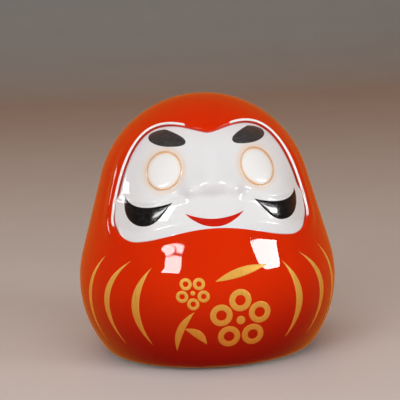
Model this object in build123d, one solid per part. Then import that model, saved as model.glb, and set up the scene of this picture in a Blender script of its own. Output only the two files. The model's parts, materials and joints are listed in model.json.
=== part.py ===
from build123d import *
import os
from math import asin, atan2, cos, hypot, pi, radians, sin, sqrt

# A hollow slip-cast ceramic daruma coin bank. Millimetres, +Z up, the face looks along -Y.
# The origin is on the table under the middle of the body.

# ---- driving dimensions ----------------------------------------------------------------------
HEIGHT = 104.0           # table to crown
WIDTH = 104.0            # across the belly, which is round in plan
HEAD_RADIUS = 43.0       # ball of the head
BELLY_RADIUS = 44.5      # curve of the belly in the side view
BELLY_LEVEL = 29.5       # height of the widest girth
FOOT_RADIUS = 8.5        # curve from the belly to the underside

GLAZE = 0.5              # thickness of the red coat
WALL = 5.0               # thickness of the cast wall
FACE_SINK = 1.7          # how far the face lies below the red surface
PAINT = 0.2              # thickness of enamel and gold

FOOT_RING = (31.0, 37.5) # inner and outer radius of the ring that the body stands on
UNDERSIDE_RISE = 2.5     # the underside lies this far above the table inside the foot ring
GLAZE_STOP = 1.5         # the red coat ends this far above the table

HOLE_RADIUS = 15.0       # hole in the base, wide enough for a 26.5 mm coin
STOPPER_GAP = 0.05       # radial clearance of the stopper in the hole
STOPPER_FLANGE = 19.0
FLANGE_THICKNESS = 1.2
STOPPER_LIP = 3.0        # how far the stopper stands up inside the body
PULL_BAR = (12.0, 3.0, 0.9)

SLOT = (34.0, 5.0)       # coin slot, length and height
SLOT_LEVEL = 86.0

EYE = (17.9, 77.5)       # middle of each eye in the front view
EYE_HALF = (6.2, 7.5)
EYE_TILT = 37.0          # the tops of the eyes lean together
EYE_LINE = 0.6
EYE_BULGE = 1.0

NOSE_TIP = (0, -36.8, 71.5)
NOSE_TIP_RADIUS = 6.4
NOSE_WING = (7.6, -36.6, 69.5)
NOSE_WING_RADIUS = 4.2

# Gold strokes on the robe, from the outside in: compass azimuth of the plane that each is drawn in,
# then in that plane its top end, bottom end, the reach of its outer edge, and its thickness.
GOLD_STROKES = [
    (62.0, (-4.2, 44.8), (1.0, 8.9), 6.9, 2.6),
    (47.0, (-5.5, 44.1), (0.5, 10.4), 8.0, 3.2),
    (33.0, (-2.9, 42.2), (-1.0, 11.6), 5.8, 3.5),
]

# Plum-blossom sprig: middle, radius of the ring of petals, petal, petal window, heart, and turn.
FLOWERS = [
    ((7.6, 21.6), 7.8, 4.3, 2.0, 1.7, 0.0),
    ((-10.2, 33.0), 4.2, 2.3, 1.0, 0.9, 36.0),
]
# Twigs and leaves: two ends, then how far each edge bows to the left of the line between them.
LEAVES = [
    ((-16.5, 9.5), (-9.8, 25.8), (3.6, 0.8)),
    ((-13.6, 19.0), (-5.4, 12.4), (2.9, -0.3)),
    ((-1.6, 37.0), (18.6, 41.6), (2.4, -1.0)),
]

# ---- the turned form -------------------------------------------------------------------------
# Four tangent arcs and a line make the side view: head ball, straight shoulder, belly, foot curve.
# Every layer of the wall is the same outline at another depth, so all layers stay concentric.

head_centre = (0.0, HEIGHT - HEAD_RADIUS)
belly_centre = (WIDTH / 2 - BELLY_RADIUS, BELLY_LEVEL)
head_to_belly = (belly_centre[0] - head_centre[0], belly_centre[1] - head_centre[1])
shoulder_angle = atan2(head_to_belly[0], -head_to_belly[1]) + asin(
    (BELLY_RADIUS - HEAD_RADIUS) / hypot(*head_to_belly)
)
foot_reach = sqrt((BELLY_RADIUS - FOOT_RADIUS) ** 2 - (BELLY_LEVEL - FOOT_RADIUS) ** 2)
foot_centre = (belly_centre[0] + foot_reach, FOOT_RADIUS)
foot_angle = atan2(FOOT_RADIUS - BELLY_LEVEL, foot_reach)


def on_arc(centre, radius, angle):
    return (centre[0] + radius * cos(angle), centre[1] + radius * sin(angle))


def arc(centre, radius, start, end):
    points = [on_arc(centre, radius, a) for a in (start, (start + end) / 2, end)]
    return ThreePointArc(*points)


def turned(depth):
    """The whole form with its surface this far inside (or, if negative, outside) the red coat."""
    with BuildPart() as form:
        with BuildSketch(Plane.XZ):
            with BuildLine():
                head = arc(head_centre, HEAD_RADIUS - depth, pi / 2, shoulder_angle)
                belly = arc(belly_centre, BELLY_RADIUS - depth, shoulder_angle, foot_angle)
                foot = arc(foot_centre, FOOT_RADIUS - depth, foot_angle, -pi / 2)
                Line(head @ 1, belly @ 0)
                Polyline(foot @ 1, (0, depth), head @ 0)
            make_face()
        revolve(axis=Axis.Z)
    return form.part


def between(outer_depth, inner_depth):
    return turned(outer_depth) - turned(inner_depth)


# ---- outlines in the front view --------------------------------------------------------------
def front_prism(sketch, azimuth=0.0):
    """A front-view outline pushed out through the front wall, towards a compass azimuth."""
    a = radians(azimuth)
    view = Plane(origin=(0, 0, 0), x_dir=(cos(a), sin(a), 0), z_dir=(sin(a), -cos(a), 0))
    return extrude(view * sketch, amount=WIDTH)


def closed(*spans):
    """A face inside Bezier curves that follow each other round."""
    return make_face(Wire([Bezier(*span) for span in spans]))


def window_outline():
    """The edge of the hood: a small peak over the brow, two lobes, and a gently arched chin."""
    half = [
        [(0, 92.0), (4.5, 92.6), (8.5, 94.6), (14.0, 94.6)],
        [(14.0, 94.6), (28.5, 94.6), (34.5, 78.0), (38.1, 60.0)],
        [(38.1, 60.0), (39.3, 54.0), (34.5, 50.5), (30.0, 51.0)],
        [(30.0, 51.0), (20.0, 52.3), (12.0, 56.3), (0, 56.3)],
    ]
    other_half = [[(-x, z) for x, z in reversed(span)] for span in reversed(half)]
    return closed(*half, *other_half)


def brow_outline():
    return closed(
        [(9.0, 88.0), (9.0, 89.6), (13.2, 91.4), (16.2, 92.3)],
        [(16.2, 92.3), (19.5, 91.9), (22.7, 90.8), (22.7, 88.9)],
        [(22.7, 88.9), (22.7, 87.2), (19.0, 86.1), (15.4, 86.1)],
        [(15.4, 86.1), (11.8, 86.1), (9.0, 86.4), (9.0, 88.0)],
    )


def eye_outline(inset):
    oval = Ellipse(EYE_HALF[0] - inset, EYE_HALF[1] - inset)
    return Pos(*EYE) * Rot(0, 0, EYE_TILT) * oval


def moustache_outline():
    """A comma lying on its side: thin tip by the nose, full belly, tip turned up by the cheek."""
    return closed(
        [(15.6, 66.0), (23.0, 63.6), (31.5, 62.6), (32.9, 67.6)],
        [(32.9, 67.6), (34.6, 61.5), (32.5, 57.0), (27.4, 57.0)],
        [(27.4, 57.0), (22.0, 57.0), (19.5, 62.0), (15.6, 66.0)],
    )


def crescent(start, end, edges):
    """Two arcs between the same two ends, through the middle of one edge and of the other."""
    return make_face(Wire([ThreePointArc(start, middle, end) for middle in edges]))


def mouth_outline():
    return crescent((-11.2, 61.9), (11.2, 61.9), [(0, 59.7), (0, 56.9)])


def stroke_outline(top, bottom, bow, thickness):
    """A brush stroke that bows sideways and thins to both ends."""
    middle = (top[1] + bottom[1]) / 2
    return crescent(top, bottom, [(bow, middle), (bow - thickness, middle)])


def flower_outline(centre, reach, petal, window, heart, turn):
    """Five round petals in a ring, each with a round window, and a dot in the middle."""
    ring = Circle(petal) - Circle(window)
    petals = [Rot(0, 0, turn + 72 * number) * Pos(0, reach) * ring for number in range(5)]
    return Pos(*centre) * (Sketch() + [*petals, Circle(heart)])


def leaf_outline(start, end, bows):
    run, rise = end[0] - start[0], end[1] - start[1]
    length = hypot(run, rise)
    middle = ((start[0] + end[0]) / 2, (start[1] + end[1]) / 2)
    edges = [(middle[0] - rise / length * bow, middle[1] + run / length * bow) for bow in bows]
    return crescent(start, end, edges)


# ---- painted and gilded layers ---------------------------------------------------------------
def drape(sketch, surface_depth, azimuth=0.0):
    """A layer of paint in the outline's shape, lying on the surface at this depth."""
    layer = between(surface_depth - PAINT, surface_depth)
    return layer & front_prism(sketch, azimuth)


def face_pair(name, sketch):
    right = drape(sketch, FACE_SINK)
    return {name + "_right": right, name + "_left": mirror(right, about=Plane.YZ)}


def gold_strokes():
    strokes = {}
    for number, (azimuth, *shape) in enumerate(GOLD_STROKES, start=1):
        right = drape(stroke_outline(*shape), 0.0, azimuth)
        strokes[f"gold_stroke_right_{number}"] = right
        strokes[f"gold_stroke_left_{number}"] = mirror(right, about=Plane.YZ)
    return strokes


def gold_blossom():
    sprig = [flower_outline(*flower) for flower in FLOWERS]
    sprig += [leaf_outline(*leaf) for leaf in LEAVES]
    return drape(Sketch() + sprig, 0.0)


# ---- pieces ----------------------------------------------------------------------------------
def coin_slot():
    """The coin slot, cut straight in from the back."""
    return front_prism(Pos(0, SLOT_LEVEL) * SlotOverall(*SLOT), 180.0)


def eye_dome():
    """A shallow cap inside the eye outline, cut from a large ball."""
    surface = HEAD_RADIUS - FACE_SINK
    reach = sqrt(surface**2 - (EYE[1] - head_centre[1]) ** 2 - EYE[0] ** 2)
    out = Vector(EYE[0], -reach, EYE[1] - head_centre[1]).normalized()
    half = EYE_HALF[0] - EYE_LINE
    ball_radius = (half**2 + EYE_BULGE**2) / (2 * EYE_BULGE)
    centre = Vector(0, 0, head_centre[1]) + out * (surface + EYE_BULGE - ball_radius)
    return Pos(*centre) * Sphere(ball_radius) & front_prism(eye_outline(EYE_LINE))


def nose():
    """A round tip between two smaller wings."""
    wing = Pos(*NOSE_WING) * Sphere(NOSE_WING_RADIUS)
    return [Pos(*NOSE_TIP) * Sphere(NOSE_TIP_RADIUS), wing, mirror(wing, about=Plane.YZ)]


def foot_ring():
    inner, outer = FOOT_RING
    return extrude(Circle(outer) - Circle(inner), amount=FOOT_RADIUS / 2)


def ceramic_body():
    body = turned(GLAZE)
    body -= front_prism(window_outline()) & between(-1.0, FACE_SINK)
    dome = eye_dome()
    body += [dome, mirror(dome, about=Plane.YZ), *nose(), foot_ring()]
    body -= turned(GLAZE + WALL)
    body -= extrude(Circle(FOOT_RING[0]), amount=UNDERSIDE_RISE)
    body -= extrude(Circle(HOLE_RADIUS), amount=GLAZE + WALL + 1)
    return body - coin_slot()


def red_glaze():
    coat = between(0, GLAZE) - front_prism(window_outline())
    coat -= extrude(Circle(WIDTH), amount=GLAZE_STOP)
    return coat - coin_slot()


def base_stopper():
    top = GLAZE + WALL + STOPPER_LIP
    shank = extrude(Circle(HOLE_RADIUS - STOPPER_GAP), amount=top - UNDERSIDE_RISE)
    flange = extrude(Circle(STOPPER_FLANGE), amount=-FLANGE_THICKNESS)
    stopper = Pos(0, 0, UNDERSIDE_RISE) * (shank + flange)
    length, width, drop = PULL_BAR
    bar = Box(length, width, drop, align=(Align.CENTER, Align.CENTER, Align.MAX))
    return stopper + Pos(0, 0, UNDERSIDE_RISE - FLANGE_THICKNESS) * bar


def main():
    nodes = {
        "ceramic_body": ceramic_body(),
        "red_glaze": red_glaze(),
        "base_stopper": base_stopper(),
        "mouth": drape(mouth_outline(), FACE_SINK),
        "gold_blossom": gold_blossom(),
    }
    nodes.update(face_pair("eyebrow", brow_outline()))
    nodes.update(face_pair("eye_outline", eye_outline(0) - eye_outline(EYE_LINE)))
    nodes.update(face_pair("moustache", moustache_outline()))
    nodes.update(gold_strokes())

    os.makedirs("parts", exist_ok=True)
    for name, shape in nodes.items():
        shape.label = name
        export_step(shape, f"parts/{name}.step")
        print(f"{name}: {len(shape.solids())} solid(s), {shape.volume:.2f} mm3")


main()
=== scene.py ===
# %% [markdown]
# # A glazed ceramic daruma
# The real doll is one hollow casting. A red glaze covers it like a hood, the face is left white and
# lies a little deeper, and the brows, moustache, mouth and gold are painted and fired on top. A soft
# stopper closes a hole in the base. The engineering model already says where each piece is, so this
# lesson loads it first and then builds a finer skin for each piece in the same place.

# %% Load the frame
import json
import math
import bmesh
import bpy
import numpy as np
from mathutils import Matrix, Vector, kdtree

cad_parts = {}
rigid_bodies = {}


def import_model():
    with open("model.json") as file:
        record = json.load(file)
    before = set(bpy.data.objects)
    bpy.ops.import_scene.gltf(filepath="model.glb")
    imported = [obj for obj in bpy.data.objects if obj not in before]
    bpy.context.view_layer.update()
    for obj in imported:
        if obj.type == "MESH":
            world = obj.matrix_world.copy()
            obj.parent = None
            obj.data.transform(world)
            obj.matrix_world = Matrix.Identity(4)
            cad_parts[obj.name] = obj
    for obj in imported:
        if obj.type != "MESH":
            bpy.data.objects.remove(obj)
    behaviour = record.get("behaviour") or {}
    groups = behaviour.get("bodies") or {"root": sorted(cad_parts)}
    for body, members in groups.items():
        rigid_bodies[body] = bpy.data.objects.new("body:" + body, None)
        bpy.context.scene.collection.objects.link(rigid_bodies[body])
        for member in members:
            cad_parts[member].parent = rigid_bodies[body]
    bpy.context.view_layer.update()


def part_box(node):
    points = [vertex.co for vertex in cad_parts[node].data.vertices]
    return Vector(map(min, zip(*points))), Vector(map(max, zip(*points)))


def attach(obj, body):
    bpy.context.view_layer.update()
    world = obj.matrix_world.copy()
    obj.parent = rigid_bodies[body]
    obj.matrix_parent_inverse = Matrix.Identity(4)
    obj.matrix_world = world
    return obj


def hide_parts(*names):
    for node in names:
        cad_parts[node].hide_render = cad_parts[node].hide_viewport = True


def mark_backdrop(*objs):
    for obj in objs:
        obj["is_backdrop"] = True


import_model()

MM = 0.001

# %% [markdown]
# ## The turned form
# Seen from the side the doll is a ball for the head, an arc for the belly and a small curve down to
# the foot, with a straight shoulder that touches ball and belly. Every layer, from the glaze to the
# hollow inside, is this outline at another depth, so one set of formulas serves all of them. All
# sizes below are millimetres, and they become metres when a mesh is made.

# %% Arcs of the turned form
_, coat_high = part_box("red_glaze")
HEIGHT = round(coat_high.z / MM, 1)
WIDTH = 2 * round(coat_high.x / MM)
HEAD_RADIUS = 43.0
BELLY_RADIUS = 44.5
BELLY_LEVEL = 29.5
FOOT_RADIUS = 8.5

head = np.array([0.0, HEIGHT - HEAD_RADIUS])
belly = np.array([WIDTH / 2 - BELLY_RADIUS, BELLY_LEVEL])
run, drop = belly[0] - head[0], head[1] - belly[1]
shoulder = math.atan2(run, drop) + math.asin((BELLY_RADIUS - HEAD_RADIUS) / math.hypot(run, drop))
foot_run = math.sqrt((BELLY_RADIUS - FOOT_RADIUS) ** 2 - (BELLY_LEVEL - FOOT_RADIUS) ** 2)
foot = np.array([belly[0] + foot_run, FOOT_RADIUS])
foot_angle = math.atan2(FOOT_RADIUS - BELLY_LEVEL, foot_run)
print(f"doll {WIDTH} wide, {HEIGHT} high, shoulder leans {math.degrees(shoulder):.1f} degrees")


# %% The outline at any depth
def girth(z, depth=0.0):
    """Radius of the form at height z, on the layer that lies this deep."""
    z, depth = np.asarray(z, float), np.asarray(depth, float)
    ball, arc, curl = HEAD_RADIUS - depth, BELLY_RADIUS - depth, FOOT_RADIUS - depth
    neck = head[1] + ball * math.sin(shoulder)
    waist = belly[1] + arc * math.sin(shoulder)
    ankle = belly[1] + arc * math.sin(foot_angle)
    on_head = np.sqrt(np.maximum(ball**2 - (z - head[1]) ** 2, 0))
    on_shoulder = ball * math.cos(shoulder) - (z - neck) * math.tan(shoulder)
    on_belly = belly[0] + np.sqrt(np.maximum(arc**2 - (z - belly[1]) ** 2, 0))
    on_foot = foot[0] + np.sqrt(np.maximum(curl**2 - (z - foot[1]) ** 2, 0))
    return np.select([z > neck, z > waist, z > ankle], [on_head, on_shoulder, on_belly], on_foot)


def front(x, z, depth=0.0):
    """The point on the front of the form that is at x and z when seen from the front."""
    y = -np.sqrt(np.maximum(girth(z, depth) ** 2 - x**2, 0))
    return np.stack(np.broadcast_arrays(x, y, z), axis=-1)


def half_outline(depth=0.0, steps=600):
    """Radius, height and lean of the skin, from the crown down to the middle of the underside."""
    spans = [
        (head, HEAD_RADIUS, math.pi / 2, shoulder),
        (belly, BELLY_RADIUS, shoulder, foot_angle),
        (foot, FOOT_RADIUS, foot_angle, -math.pi / 2),
    ]
    rows = []
    for centre, radius, start, end in spans:
        lean = np.linspace(start, end, steps)
        out = np.stack([np.cos(lean), np.sin(lean)], axis=-1)
        rows.append(np.column_stack([centre + (radius - depth) * out, lean]))
    rows.append([[0.0, depth, -math.pi / 2]])
    return np.concatenate(rows)


outline = half_outline()
print("points in the half outline:", len(outline), "widest radius", round(outline[:, 0].max(), 2))

# %% [markdown]
# ## Rings of points
# Most pieces are closed skins through rings of points, from one pole to the other, like the rings
# of an onion. One helper turns such rings into a mesh. It checks the volume's sign, so the faces
# always point outwards whichever way the rings run.


# %% Meshes from rings
def signed_volume(points, faces):
    a, b, c, d = (points[faces[:, k]] for k in range(4))
    triangles = [(a, b, c), (a, c, d)]
    return sum(np.einsum("ij,ij->i", p, np.cross(q, r)).sum() for p, q, r in triangles) / 6


def new_piece(name, points, faces):
    """A mesh object from points in millimetres. Repeated points are merged."""
    mesh = bpy.data.meshes.new(name)
    mesh.from_pydata((points * MM).tolist(), [], faces)
    piece = bpy.data.objects.new(name, mesh)
    bpy.context.scene.collection.objects.link(piece)
    return finish_mesh(piece)


def finish_mesh(piece, crease=40.0):
    """Merges doubles, drops faces with no area, and shades smooth up to the crease angle."""
    work = bmesh.new()
    work.from_mesh(piece.data)
    bmesh.ops.remove_doubles(work, verts=work.verts, dist=1e-7)
    bmesh.ops.dissolve_degenerate(work, edges=work.edges, dist=1e-8)
    work.to_mesh(piece.data)
    work.free()
    piece.data.shade_smooth()
    piece.data.set_sharp_from_angle(angle=math.radians(crease))
    return piece


def skin(name, rings, looped=False):
    """A closed mesh through rings of equal length, from pole to pole or joined up in a loop."""
    rings = np.asarray(rings, float)
    count, around = rings.shape[:2]
    here = np.arange(count * around).reshape(count, around)
    after = np.roll(here, -1, axis=0)
    if not looped:
        here, after = here[:-1], after[:-1]
    quads = [here, np.roll(here, -1, axis=1), np.roll(after, -1, axis=1), after]
    faces = np.stack(quads, axis=-1).reshape(-1, 4)
    points = rings.reshape(-1, 3)
    if signed_volume(points - points.mean(axis=0), faces) < 0:
        faces = faces[:, ::-1]
    return new_piece(name, points, faces.tolist())


def capped(rings):
    """The rings with a pole in the middle of the first one and of the last one."""
    first, last = (np.broadcast_to(ring.mean(axis=0), ring.shape) for ring in (rings[0], rings[-1]))
    return [first, *rings, last]


# %% [markdown]
# ## The edge of the hood
# The hood leaves a window for the face: a small peak over the brow, a lobe over each eye, and a
# gently arched chin. It is drawn in the front view with the same few curves as the engineering
# model, then cut into even steps, because every ring of the face and of the hood starts from it.

# %% The window's outline
WINDOW = [
    [(0, 92.0), (4.5, 92.6), (8.5, 94.6), (14.0, 94.6)],
    [(14.0, 94.6), (28.5, 94.6), (34.5, 78.0), (38.1, 60.0)],
    [(38.1, 60.0), (39.3, 54.0), (34.5, 50.5), (30.0, 51.0)],
    [(30.0, 51.0), (20.0, 52.3), (12.0, 56.3), (0, 56.3)],
]


def bezier(points, t):
    a, b, c, d = (np.asarray(p, float) for p in points)
    t = np.asarray(t, float)[:, None]
    s = 1 - t
    return s**3 * a + 3 * s**2 * t * b + 3 * s * t**2 * c + t**3 * d


def even_steps(points, count):
    """Points evenly spaced along a closed line."""
    loop = np.vstack([points, points[:1]])
    along = np.concatenate([[0], np.cumsum(np.linalg.norm(np.diff(loop, axis=0), axis=1))])
    where = np.linspace(0, along[-1], count, endpoint=False)
    return np.stack([np.interp(where, along, axis) for axis in loop.T], axis=-1)


def softened(points, reach):
    """Rounds a closed line's corners: each point moves to the average of its neighbours."""
    weights = np.hanning(2 * reach + 1)
    moved = [np.roll(points, k, axis=0) * w for k, w in zip(range(-reach, reach + 1), weights)]
    return sum(moved) / weights.sum()


AROUND = 480
half = np.vstack([bezier(span, np.linspace(0, 1, 200, endpoint=False)) for span in WINDOW])
mirror_half = half[1:][::-1] * (-1, 1)
rim_fine = softened(even_steps(np.vstack([half, [WINDOW[-1][-1]], mirror_half]), AROUND * 10), 12)
rim_fine = even_steps(rim_fine, AROUND * 10)
rim = rim_fine[::10]
print("window", np.ptp(rim, axis=0).round(1), "mm, step", round(np.linalg.norm(rim[1] - rim[0]), 2))

# %% [markdown]
# ## Walking over the curved surface
# The hood's edge is worked by hand, square to the surface, so its steps are measured in the surface
# and not in the front view. A ray from a point inside the doll meets each arc once, and the arc's
# own centre gives the direction that faces out. With both, a point can be moved sideways along the
# skin and then lifted or sunk by an exact amount.

# %% Rays from inside
CORE = np.array([0, 0, 53.0])


def cast(direction):
    """Where rays from the core meet the outer skin, and the way that faces out there."""
    level = np.hypot(direction[..., 0], direction[..., 1])
    rise = direction[..., 2]
    length = np.hypot(level, rise)
    level, rise = level / length, rise / length

    def on_arc(centre, radius):
        gap = centre - CORE[1:]
        along = level * gap[0] + rise * gap[1]
        reach = along + np.sqrt(np.maximum(along**2 - gap @ gap + radius**2, 0))
        point = np.stack([level * reach, CORE[2] + rise * reach], axis=-1)
        return point, (point - centre) / radius

    def above(joint):
        return (np.arctan2(rise, level) > math.atan2(joint[1] - CORE[2], joint[0]))[..., None]

    slope = np.array([math.cos(shoulder), math.sin(shoulder)])
    toe = np.array([math.cos(foot_angle), math.sin(foot_angle)])
    neck, waist = head + HEAD_RADIUS * slope, belly + BELLY_RADIUS * slope
    zones = [above(joint) for joint in (neck, waist, foot + FOOT_RADIUS * toe, (foot[0], 0.0))]
    reach = (neck - CORE[1:]) @ slope / (level * slope[0] + rise * slope[1])
    line = np.stack([level * reach, CORE[2] + rise * reach], axis=-1)
    down = np.minimum(rise, -0.05)
    floor = np.stack([level * CORE[2] / -down, np.zeros_like(level)], axis=-1)
    arcs = ((head, HEAD_RADIUS), (belly, BELLY_RADIUS), (foot, FOOT_RADIUS))
    on_head, on_belly, on_foot = (on_arc(*arc) for arc in arcs)
    on_line = (line, np.broadcast_to(slope, line.shape))
    points, normals = zip(on_head, on_line, on_belly, on_foot)
    point = np.select(zones, points, floor)
    out = np.select(zones, normals, np.array([0.0, -1.0]))
    around = direction[..., :2] / np.maximum(np.hypot(*direction[..., :2].T).T, 1e-9)[..., None]
    place = np.concatenate([around * point[..., :1], point[..., 1:]], axis=-1)
    normal = np.concatenate([around * out[..., :1], out[..., 1:]], axis=-1)
    return place, normal


def unit(vectors):
    return vectors / np.linalg.norm(vectors, axis=-1, keepdims=True)


def step_off(points, depth):
    """The outer skin beside these points, then this much deeper."""
    place, normal = cast(points - CORE)
    return place - normal * np.asarray(depth)[..., None]


rim_place = front(rim[:, 0], rim[:, 1])
rim_out = cast(rim_place - CORE)[1]
rim_along = unit(np.roll(rim_place, -1, axis=0) - np.roll(rim_place, 1, axis=0))
rim_side = np.cross(rim_along, rim_out)
rim_side *= np.sign(np.einsum("ij,ij->i", rim_side, rim_place - rim_place.mean(axis=0)).mean())
rim_tree = kdtree.KDTree(len(rim_fine))
for number, point in enumerate(front(rim_fine[:, 0], rim_fine[:, 1])):
    rim_tree.insert(point, number)
rim_tree.balance()


def from_rim(points):
    """Distance of each point from the hood's edge."""
    flat = points.reshape(-1, 3)
    return np.array([rim_tree.find(p)[2] for p in flat.tolist()]).reshape(points.shape[:-1])


def beside_rim(sideways, depth):
    """A ring that runs beside the hood's edge: outwards is positive, and deeper is positive."""
    return step_off(rim_place + rim_side * sideways, np.broadcast_to(depth, AROUND))


print("check: a ray lands on the skin within", np.abs(cast(rim_place - CORE)[0] - rim_place).max().round(6))

# %% [markdown]
# ## The face as a relief
# The face isn't flat. Cheeks stand over a crease where the moustaches lie, the nose has a round tip
# and two wings, each eye is a low dome in a shallow socket, and the chin slopes out to the edge of
# the robe. A sculptor would push these forms out of the clay one by one. Here each is a smooth bump
# in the front view, and their sum says how far the face stands out of its sunken floor.

# %% Forms of the face
EYE = (17.9, 77.5)
EYE_HALF = (6.2, 7.5)
EYE_TILT = math.radians(37)
EYE_LINE = 0.6
CHIN_SINK = 0.45
MUZZLE_SINK = 1.5
MUZZLE_LEAN = 0.07
FACE_SINK = 1.7
CREASE = 65.0


def ease(t):
    t = np.clip(t, 0, 1)
    return t * t * (3 - 2 * t)


def bump(x, z, centre, width):
    return np.exp(-(((x - centre[0]) / width[0]) ** 2) - ((z - centre[1]) / width[1]) ** 2)


def eye_reach(x, z):
    """How far a point is from the middle of the eye: 1 is on the outline."""
    dx, dz = np.abs(x) - EYE[0], z - EYE[1]
    across = dx * math.cos(EYE_TILT) + dz * math.sin(EYE_TILT)
    up = dz * math.cos(EYE_TILT) - dx * math.sin(EYE_TILT)
    return np.hypot(across / EYE_HALF[0], up / EYE_HALF[1])


def mouth_line(x):
    return 58.3 + 3.6 * (x / 11.2) ** 2


def floor_depth(x, z):
    """Depth of the face's floor under the red surface: sunken, but nearly level at the chin."""
    above_chin = z - 56.3 + 5.3 * ease(np.abs(x) / 30)
    lower = CHIN_SINK + (MUZZLE_SINK - CHIN_SINK) * ease(above_chin / 4.5)
    lower = lower - MUZZLE_LEAN * np.clip(above_chin - 3, 0, 12)
    return lower + (FACE_SINK - lower) * ease((z - CREASE) / 4)


def relief(x, z):
    """How far the modelled face stands out of its floor."""
    side = np.abs(x)
    crease = 64.7 + 1.5 * ((side - 26.5) / 8) ** 2
    cheek = bump(side, z, (25.5, 71), (10.5, 8)) * ease((z - crease + 0.3) / 2.2)
    reach = eye_reach(x, z)
    dome = 0.95 * np.sqrt(np.clip(1.02 - reach**2, 0, None))
    socket = -0.4 * np.exp(-((reach / 1.45) ** 4)) - 0.16 * np.exp(-(((reach - 1.06) / 0.09) ** 2))
    nose = 2.7 * bump(x, z, (-0.6, 73.0), (7.0, 4.8)) + 1.7 * bump(side, z, (8.6, 70.4), (3.2, 3.2))
    bridge = 1.3 * bump(x, z, (0, 80), (6.0, 8.5))
    under = -0.3 * bump(x, z, (0, 67.0), (7, 2.2))
    brow = 0.6 * bump(side, z, (15.5, 89.2), (8, 3.2))
    lips = -0.25 * bump(0, z, (0, mouth_line(x)), (1, 1.3)) * ease((13 - side) / 3)
    muzzle = 1.3 * bump(side, z, (27, 60), (8.5, 12))
    return 1.1 * cheek + dome + socket + nose + bridge + under + brow + lips + muzzle


def on_face(x, z, proud=0.0):
    return front(x, z, floor_depth(x, z) - relief(x, z) - proud)


nose_tip = (0, 71.4)
print("nose stands", relief(*nose_tip).round(2), "mm out of a floor", floor_depth(*nose_tip).round(2), "deep")

# %% [markdown]
# ## The casting
# The white body goes on under the red coat, because the coat is only half a millimetre of glaze. Its
# rings start at the middle of the face, run out to the hood's edge, tuck under it, and go round to
# the back. Then the inside is turned out like a lathe cut: the hollow, the hole in the base, the
# recess inside the foot ring, and the coin slot with edges that the glaze has softened.

# %% Rings of the outer form
GLAZE = 0.5
WALL = 5.0
FACE_MIDDLE = np.array([0, 74.0])
INSIDE_RINGS = 100
COAT_RINGS = 96
HIDDEN_RINGS = 26
BESIDE = 1.2
LIP_TUCK = 0.55

edge_depth = floor_depth(*rim.T)
edge_floor = rim_place - rim_out * edge_depth[:, None] - rim_side * LIP_TUCK
inner_rings = []
for share in np.linspace(0, 1, INSIDE_RINGS) ** 0.9:
    x, z = (FACE_MIDDLE + share * (edge_floor[:, [0, 2]] - FACE_MIDDLE)).T
    inner_rings.append(on_face(x, z, 0.12 * max(0, share * 12 - 11) ** 2))


def rings_to_back(sideways, depth, count, power, lift=None):
    """Rings from beside the hood's edge to the far side of the doll, along great circles."""
    start = unit(rim_place + rim_side * sideways - CORE)
    middle = unit(np.array([0, front(*FACE_MIDDLE)[1], FACE_MIDDLE[1]]) - CORE)
    turn = np.arccos(np.clip(-start @ middle, -1, 1))[:, None]
    rings = []
    for share in np.linspace(0, 1, count) ** power:
        ray = (np.sin((1 - share) * turn) * start - np.sin(share * turn) * middle) / np.sin(turn)
        place, normal = cast(ray)
        rise = -depth if lift is None else lift(place) - depth
        rings.append(place + normal * np.asarray(rise).reshape(-1, 1))
    return rings


tuck = [(0.3, 0.0), (0.6, 0.35), (0.9, 0.85)]
tucked = [beside_rim(side, edge_depth + (GLAZE - edge_depth) * blend) for side, blend in tuck]
body_rings = inner_rings + tucked + rings_to_back(BESIDE, GLAZE, HIDDEN_RINGS, 1.2)
body = skin("daruma_body", body_rings)
print("body skin:", len(body.data.polygons), "faces")


# %% Cutting and joining
def combine(piece, other, operation):
    """Boolean with a closed cutter, which is used up. The result is a plain mesh again."""
    cut = piece.modifiers.new("Cut", "BOOLEAN")
    cut.object, cut.operation, cut.solver = other, operation, "MANIFOLD"
    old = piece.data
    depsgraph = bpy.context.evaluated_depsgraph_get()
    piece.data = bpy.data.meshes.new_from_object(piece.evaluated_get(depsgraph))
    piece.modifiers.remove(cut)
    bpy.data.meshes.remove(old)
    bpy.data.objects.remove(other)
    return piece


def lathe(name, profile, around=240):
    """A turned closed form. The profile runs from the axis back to the axis."""
    angle = np.linspace(0, 2 * math.pi, around, endpoint=False)
    rings = [[(r * math.cos(a), r * math.sin(a), z) for a in angle] for r, z in profile]
    return skin(name, rings)


def corner(centre, radius, start, end, steps=6):
    """A rounded corner of a profile, as points on an arc. Angles are in degrees."""
    angles = np.radians(np.linspace(start, end, steps))
    return [(centre[0] + radius * math.cos(a), centre[1] + radius * math.sin(a)) for a in angles]


FOOT_RING = (31.0, 37.5)
RECESS = 2.5
HOLE_RADIUS = 15.0

ring_inner, ring_outer = FOOT_RING
ring_profile = [(0, 4.2), (ring_outer + 1.4, 4.2), (ring_outer + 0.3, 2.4)]
ring_profile += corner((ring_outer - 0.9, 0.9), 0.9, 0, -90) + [(0, 0)]
combine(body, lathe("foot_ring", ring_profile), "UNION")

inside = half_outline(GLAZE + WALL, 30)[:-1, :2].tolist()
floor_level = GLAZE + WALL
void = inside + corner((HOLE_RADIUS + 1, floor_level - 1), 1, 90, 180) + [(HOLE_RADIUS, RECESS)]
void += corner((ring_inner - 1.5, RECESS - 1.5), 1.5, 90, 0)
void += corner((ring_inner + 0.8, 0.8), 0.8, 180, 240) + [(ring_inner + 0.4, -1), (0, -1)]
combine(body, lathe("void", void), "DIFFERENCE")
print("hollow body:", len(body.data.polygons), "faces")

# %% The coin slot's cutter
SLOT_LENGTH = 34.0
SLOT_HEIGHT = 5.0
SLOT_LEVEL = 86.0


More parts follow.
